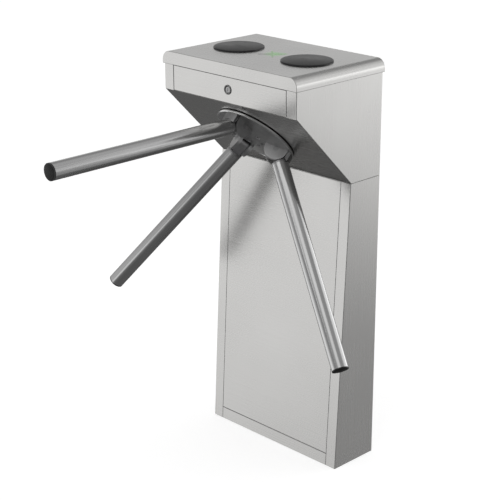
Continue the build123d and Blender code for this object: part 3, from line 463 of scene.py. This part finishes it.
def paint(material, *nodes):
    for node in nodes:
        slots = frame["nodes"][node].data.materials
        slots.clear()
        slots.append(material)


def darken_seams(material):
    """Shaded bottoms of the neck's groove and of the kick strip's two upright grooves."""
    steel = Shader(material)
    parts = steel.add("ShaderNodeSeparateXYZ", {0: steel.position}).outputs
    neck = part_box("pedestal_shell")[1].z
    in_neck = steel.between(parts["Z"], neck - SEAM_WIDTH, neck + SEAM_OVERLAP)
    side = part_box("pedestal_front_panel")[1].x
    in_seam = steel.between(steel.math("ABSOLUTE", parts["X"]), side, side + SEAM_WIDTH)
    in_kick = steel.math("MULTIPLY", in_seam, steel.math("LESS_THAN", parts["Z"], KICK_TOP))
    steel.overlay(in_neck, shade(STEEL, NECK_SHADE))
    steel.overlay(in_kick, shade(STEEL, KICK_SHADE))


def lid_steel():
    """Panel steel with painted light: the indicator's green glow laid into its colour around the lens's
    lit half.
    """
    material = grained_steel("lid_steel", STEEL, (1, 0, 0), PANEL_ROUGHNESS, PANEL_GRAIN)
    steel = Shader(material)
    low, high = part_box("indicator_lens")
    middle = (low + high) / 2
    half = (high.x - low.x) / 2
    glow = 0.0
    for reach, radius, strength in PAINTED_GLOW_SPOTS:
        spot = (middle.x + reach * half, middle.y + reach * half, high.z)
        gap = steel.add("ShaderNodeVectorMath", {0: steel.position, 1: spot}, operation="DISTANCE")
        fade = steel.spread(gap.outputs["Value"], strength, 0.0, 0.0, radius * 2 * half)
        glow = steel.math("MAXIMUM", glow, fade)
    # Painted light: the base colour turns green near the lens, in place of the indicator's glow.
    steel.overlay(glow, PAINTED_GLOW_COLOR)
    return material


def paint_cabinet():
    across = grained_steel("panel_steel", STEEL, (1, 0, 0), PANEL_ROUGHNESS, PANEL_GRAIN)
    upright = grained_steel("shell_steel", STEEL, (0, 0, 1), PANEL_ROUGHNESS, SHELL_GRAIN, KICK_TOP)
    darken_seams(upright)
    paint(across, "pedestal_front_panel", "head_front_panel", "slant_plate")
    paint(lid_steel(), "lid")
    paint(upright, "pedestal_shell", "head_shell")
    paint(painted_metal("plate_primer", (0.20, 0.21, 0.22), 0.5), "base_plate")
    paint(moulded_plastic("grommet_rubber", (0.012, 0.012, 0.012), 0.6), "cable_grommet")
    hinge = grained_steel("hinge_steel", (0.55, 0.55, 0.54), (1, 0, 0), 0.28)
    paint(hinge, "lid_hinge_fixed_leaves", "lid_hinge_moving_leaves", "lid_catch")


def paint_hub():
    hub = cast_metal("hub_casting", (0.50, 0.50, 0.50), 0.34)
    rest = cast_metal("saddle_casting", (0.31, 0.31, 0.312), 0.34)
    root = cast_metal("arm_root_casting", (0.42, 0.42, 0.425), 0.35)
    paint(hub, "hub_disc")
    paint(rest, "arm_rests")
    paint(root, *[f"arm_root_{place}" for place in ARM_TURNS])
    trim = turned_metal("trim_steel", (0.72, 0.72, 0.72), HUB_CENTRE, HUB_AXIS)
    paint(trim, "hub_trim_ring")
    for place in ARM_TURNS:
        along = tuple(arm_direction(place))
        tube = grained_steel(f"arm_steel_{place}", (0.60, 0.60, 0.60), along, 0.20, grain=1.3)
        paint(tube, f"arm_tube_{place}")
    cap = moulded_plastic("cap_plastic", (0.010, 0.010, 0.010), 0.38)
    paint(cap, *[f"arm_cap_{place}" for place in ARM_TURNS])
    zinc = plated_metal("bright_zinc", (0.62, 0.62, 0.63))
    paint(zinc, "hub_screws", "joint_bolts", "lid_hinge_pins", "mechanism_bolts")
    paint(root, "pivot_pins")


def paint_lid():
    rim = moulded_plastic("reader_plastic", (0.018, 0.018, 0.019), 0.34)
    paint(rim, "reader_cover_left", "reader_cover_right")
    low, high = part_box("indicator_lens")
    paint(light_guide("indicator_lens", (low + high) / 2, (high - low).x / 2), "indicator_lens")
    lock_centre = centre_of("lock_barrel")
    nickel = turned_metal("lock_nickel", (0.66, 0.65, 0.63), lock_centre, LOCK_AXIS, 0.14, LOCK_PITCH)
    paint(nickel, "lock_nut", "lock_cam")
    plug = turned_metal("lock_plug_steel", (0.36, 0.36, 0.36), lock_centre, LOCK_AXIS, 0.26, LOCK_PITCH)
    paint(plug, "lock_plug")
    ring = turned_metal("lock_ring", (0.20, 0.20, 0.20), lock_centre, LOCK_AXIS, 0.30, LOCK_PITCH)
    paint(ring, "lock_barrel")
    reader_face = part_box("reader_boards")[0].z + CHIP_DEPTH
    paint(solder_mask("reader_board", "Z", reader_face), "reader_boards")
    board_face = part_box("controller_board")[1].y - BOARD_STAND
    paint(solder_mask("circuit_board", "Y", board_face), "controller_board")


def paint_inside():
    aluminium = grained_steel("milled_aluminium", (0.66, 0.67, 0.68), (1, 0, 0), 0.34)
    paint(aluminium, "mechanism_front_plate", "mechanism_rear_plate", "mechanism_posts",
          "bearing_housings")
    machined = turned_metal("machined_steel", (0.50, 0.50, 0.50), HUB_CENTRE, HUB_AXIS, 0.22)
    paint(machined, "main_shaft", "index_wheel", "drive_gear", "pawl_left", "pawl_right",
          "pawl_pivot_posts", "plunger_left", "plunger_right")
    ground = plated_metal("bearing_steel", (0.66, 0.66, 0.67), 0.12)
    paint(ground, "bearing_outer_rings", "bearing_inner_rings", "bearing_balls")
    paint(plated_metal("supply_case", (0.58, 0.59, 0.60), 0.30), "power_supply")
    paint(moulded_plastic("terminal_plastic", (0.40, 0.41, 0.40), 0.42), "terminal_strip")
    yellow_zinc = plated_metal("solenoid_yoke", (0.55, 0.45, 0.20), 0.30, (0.50, 0.50, 0.30))
    paint(yellow_zinc, "solenoid_left", "solenoid_right")
    black = moulded_plastic("mechanism_plastic", (0.020, 0.020, 0.022), 0.42)
    paint(black, "damper_body", "damper_pinion", "encoder_disc", "encoder_sensor")


# ------------------------------------------------------------ detail pieces
CAP_RADIUS = 17.4 * MM
CAP_SPHERE_RADIUS = 113.6 * MM
CAP_SKIRT = 0.3 * MM
CAP_LIFT = 0.12 * MM
CAP_STEPS = 69
RIDGE_RADII = (5.0 * MM, 9.5 * MM, 14.0 * MM)
RIDGE_HEIGHT = 0.28 * MM
RIDGE_WIDTH = 0.45 * MM

FILM_MARGIN = 2.2 * MM
FILM_SINK = 0.2 * MM
FILM_TOP = 0.3 * MM
FILM_EDGE = 0.15 * MM
FILM_BEVEL = 0.3 * MM
FILM_STEPS = 128
FILM_TEXTURE = 3000.0

# The ring mark on the readers: radius, then start and end in degrees.
MARK_ARCS = [
    (6.0 * MM, 0, 360),
    (11.0 * MM, -40, 40),
    (11.0 * MM, 140, 220),
    (15.0 * MM, -32, 32),
    (15.0 * MM, 148, 212),
]
MARK_HALF_WIDTH = 0.7 * MM
MARK_LOW = 0.25 * MM
MARK_HIGH = 0.42 * MM
ARC_STEP = 6
FEWEST_ARC_STEPS = 8


def arm_tip(place):
    """Middle of an end cap's crown."""
    reach = Vector(joints["arm_drop"]["pos_m"]) - HUB_CENTRE
    pivot = HUB_CENTRE + Matrix.Rotation(radians(ARM_TURNS[place]), 3, HUB_AXIS) @ reach
    direction = arm_direction(place)
    cap = frame["nodes"][f"arm_cap_{place}"]
    end = max(vertex.co.dot(direction) for vertex in cap.data.vertices)
    return pivot + direction * (end - pivot.dot(direction))


def cap_drop(radius):
    """How far the crown falls away from its middle."""
    return CAP_SPHERE_RADIUS - (CAP_SPHERE_RADIUS**2 - radius**2) ** 0.5


def cap_outline():
    outline = [(CAP_RADIUS, -cap_drop(CAP_RADIUS) - CAP_SKIRT)]
    for step in range(CAP_STEPS + 1):
        radius = CAP_RADIUS * (1 - step / CAP_STEPS)
        ridge = max(exp(-((radius - middle) / RIDGE_WIDTH) ** 2) for middle in RIDGE_RADII)
        outline.append((radius, CAP_LIFT + RIDGE_HEIGHT * ridge - cap_drop(radius)))
    return outline


def cap_faces():
    """Crowned faces on the end caps, with low concentric ridges."""
    plastic = moulded_plastic("cap_face", (0.007, 0.007, 0.007), 0.40)
    principled = plastic.node_tree.nodes["Principled BSDF"]
    principled.inputs["Specular IOR Level"].default_value = 0.2
    for place in ARM_TURNS:
        turn = arm_direction(place).to_track_quat("Z", "Y").to_matrix().to_4x4()
        shape = lathe(cap_outline(), Matrix.Translation(arm_tip(place)) @ turn)
        smooth(new_piece(f"cap_face_{place}", shape, plastic, ARM_BODIES[place]))


def reader_films():
    """Printed film on each reader, with a plain ring mark."""
    film = moulded_plastic("reader_film", (0.050, 0.050, 0.049), 0.42, FILM_TEXTURE, 0.08, wear=1.4)
    ink = moulded_plastic("reader_ink", (0.11, 0.11, 0.11), 0.5, FILM_TEXTURE, 0.05, wear=1.2)
    for side in ("left", "right"):
        low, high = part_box(f"reader_cover_{side}")
        centre = (low + high) / 2
        radius = (high.x - low.x) / 2 - FILM_MARGIN
        matrix = Matrix.Translation((centre.x, centre.y, high.z))
        edge = [(radius, -FILM_SINK), (radius, FILM_EDGE), (radius - FILM_BEVEL, FILM_TOP)]
        shape = lathe([*edge, (0, FILM_TOP)], matrix, FILM_STEPS)
        smooth(new_piece(f"reader_film_{side}", shape, film, "lid"))
        new_piece(f"reader_mark_{side}", mark_shape(matrix), ink, "lid")


def mark_shape(matrix):
    """A ring with two short arcs on each side."""
    shape = bmesh.new()
    for radius, start, stop in MARK_ARCS:
        arc_band(shape, matrix, radius, radians(start), radians(stop))
    return shape


def arc_band(shape, matrix, radius, start, stop):
    """A flat curved bar with a rectangular section, closed on itself after a whole turn."""
    inner = radius - MARK_HALF_WIDTH
    outer = radius + MARK_HALF_WIDTH
    section = ((inner, MARK_LOW), (outer, MARK_LOW), (outer, MARK_HIGH), (inner, MARK_HIGH))
    sweep = stop - start
    whole = sweep >= 2 * pi
    steps = max(FEWEST_ARC_STEPS, int(sweep / radians(ARC_STEP)))
    rows = []
    for index in range(steps if whole else steps + 1):
        angle = start + sweep * index / steps
        corners = [matrix @ around(reach, angle, height) for reach, height in section]
        rows.append([shape.verts.new(corner) for corner in corners])
    pairs = list(zip(rows, rows[1:]))
    if whole:
        pairs.append((rows[-1], rows[0]))
    for near, far in pairs:
        for corner in range(len(section)):
            after = (corner + 1) % len(section)
            shape.faces.new((near[corner], near[after], far[after], far[corner]))
    if not whole:
        shape.faces.new(rows[0])
        shape.faces.new(rows[-1])


# ------------------------------------------------------------------- stage
# Soft cards around the object: heading and height of the middle, half width, half height
# and width of the soft border, all in degrees, then the brightness that the card adds.
# Heading 0 is +X and 90 is +Y.
CARDS = {
    "front_left_wall": (-142, -17, 38, 11.5, 14, 0.83),
    "front_horizon": (-152, 2, 27, 7, 12, 0.28),
    "overhead_front": (-66, 55, 30, 16, 12, 0.60),
    "back_right": (67, -4, 25, 14, 10, 1.05),
    "back_right_high": (69, 21, 22, 22, 14, 0.54),
    "back_right_spot": (74, 20, 10, 9, 8, 0.45),
    "back_right_low": (56, -29, 32, 9, 12, 0.19),
    "back_left": (136, 8, 26, 16, 14, 0.36),
    "overhead_back": (85, 56, 30, 9, 12, 0.14),
}
# The room behind the cards: the upward part of a direction and the brightness there.
BASE_STOPS = [
    (-1.0, 0.13),
    (-0.62, 0.13),
    (-0.40, 0.17),
    (-0.12, 0.36),
    (0.0, 0.36),
    (0.45, 0.28),
    (1.0, 0.42),
]
BACKDROP = 1.05
FLOOR_HALF = 12.0
FLOOR_GLOW = 0.62


class WorldTree(NodeTree):
    """The nodes that make the soft cards of the surround."""

    def falloff(self, distance, half, border):
        """1 inside half a width and 0 outside it, with a soft border."""
        inputs = {"Value": distance, "From Min": half - border / 2, "From Max": half + border / 2,
                  "To Min": 1.0, "To Max": 0.0}
        return self.add("ShaderNodeMapRange", inputs, interpolation_type="SMOOTHSTEP").outputs[0]

    def card(self, heading, height, card):
        middle_heading, middle_height, half_width, half_height, border, brightness = card
        turn = self.math("SUBTRACT", heading, radians(middle_heading))
        wrapped = self.math("ARCTAN2", self.math("SINE", turn), self.math("COSINE", turn))
        rise = self.math("ABSOLUTE", self.math("SUBTRACT", height, radians(middle_height)))
        across = self.falloff(self.math("ABSOLUTE", wrapped), radians(half_width), radians(border))
        upright = self.falloff(rise, radians(half_height), radians(border))
        return self.math("MULTIPLY", self.math("MULTIPLY", across, upright), brightness)


def add_world():
    """Studio surround: a dark floor, a dim room and soft bright cards."""
    world = bpy.data.worlds.new("studio")
    scene.world = world
    world.use_nodes = True
    world.node_tree.nodes.clear()
    nodes = WorldTree(world.node_tree)
    direction = nodes.add("ShaderNodeTexCoord").outputs["Generated"]
    parts = nodes.add("ShaderNodeSeparateXYZ", {0: direction}).outputs
    heading = nodes.math("ARCTAN2", parts["Y"], parts["X"])
    height = nodes.math("ARCSINE", parts["Z"])
    level = nodes.add("ShaderNodeMapRange", {"Value": parts["Z"], "From Min": -1.0}).outputs[0]
    base = nodes.add("ShaderNodeValToRGB", {"Fac": level})
    ramp = base.color_ramp
    ramp.interpolation = "EASE"
    for z, _ in BASE_STOPS[1:-1]:
        ramp.elements.new((z + 1) / 2)
    for stop, (z, bright) in zip(ramp.elements, BASE_STOPS):
        stop.position = (z + 1) / 2
        stop.color = (bright, bright, bright, 1)
    light = base.outputs["Color"]
    for card in CARDS.values():
        light = nodes.math("ADD", light, nodes.card(heading, height, card))
    studio = nodes.add("ShaderNodeBackground", {"Color": light, "Strength": 1.0}).outputs[0]
    white = {"Color": (1, 1, 1, 1), "Strength": BACKDROP}
    backdrop = nodes.add("ShaderNodeBackground", white).outputs[0]
    is_camera = nodes.add("ShaderNodeLightPath").outputs["Is Camera Ray"]
    mix = nodes.add("ShaderNodeMixShader", {0: is_camera, 1: studio, 2: backdrop}).outputs[0]
    nodes.add("ShaderNodeOutputWorld", {"Surface": mix})


def area_light(name, place, target, size, power):
    """A square lamp, turned to its target and hidden from the camera."""
    data = bpy.data.lights.new(name, "AREA")
    data.size = size
    data.energy = power
    light = bpy.data.objects.new(name, data)
    light.location = place
    light.rotation_mode = "QUATERNION"
    light.rotation_quaternion = (Vector(target) - Vector(place)).to_track_quat("-Z", "Y")
    light.visible_camera = False
    scene.collection.objects.link(light)


def add_lights():
    area_light("key", place=(-1.2, -2.6, 3.0), target=(0, 0, 0.7), size=2.2, power=10.0)
    area_light("fill", place=(2.6, 1.8, 1.9), target=(0.1, 0, 0.8), size=2.0, power=4.0)


def add_floor():
    """Plain pale floor that only the camera sees, so it casts nothing back onto the steel."""
    data = bpy.data.meshes.new("floor")
    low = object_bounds()[0].z
    signs = ((-1, -1), (1, -1), (1, 1), (-1, 1))
    corners = [(x * FLOOR_HALF, y * FLOOR_HALF, low) for x, y in signs]
    data.from_pydata(corners, [], [(0, 1, 2, 3)])
    floor = bpy.data.objects.new("floor", data)
    scene.collection.objects.link(floor)
    pale = Shader.new("floor_paper", (0.9, 0.9, 0.9), roughness=0.9)
    pale.principled.inputs["Specular IOR Level"].default_value = 0.0
    pale.principled.inputs["Emission Color"].default_value = (1, 1, 1, 1)
    pale.principled.inputs["Emission Strength"].default_value = FLOOR_GLOW
    data.materials.append(pale.material)
    floor.visible_diffuse = False
    floor.visible_glossy = False
    floor.visible_shadow = False
    floor.visible_transmission = False


add_camera()
add_world()
add_lights()
add_floor()
paint_cabinet()
paint_hub()
paint_lid()
paint_inside()
cap_faces()
reader_films()

scene.view_settings.view_transform = "Standard"
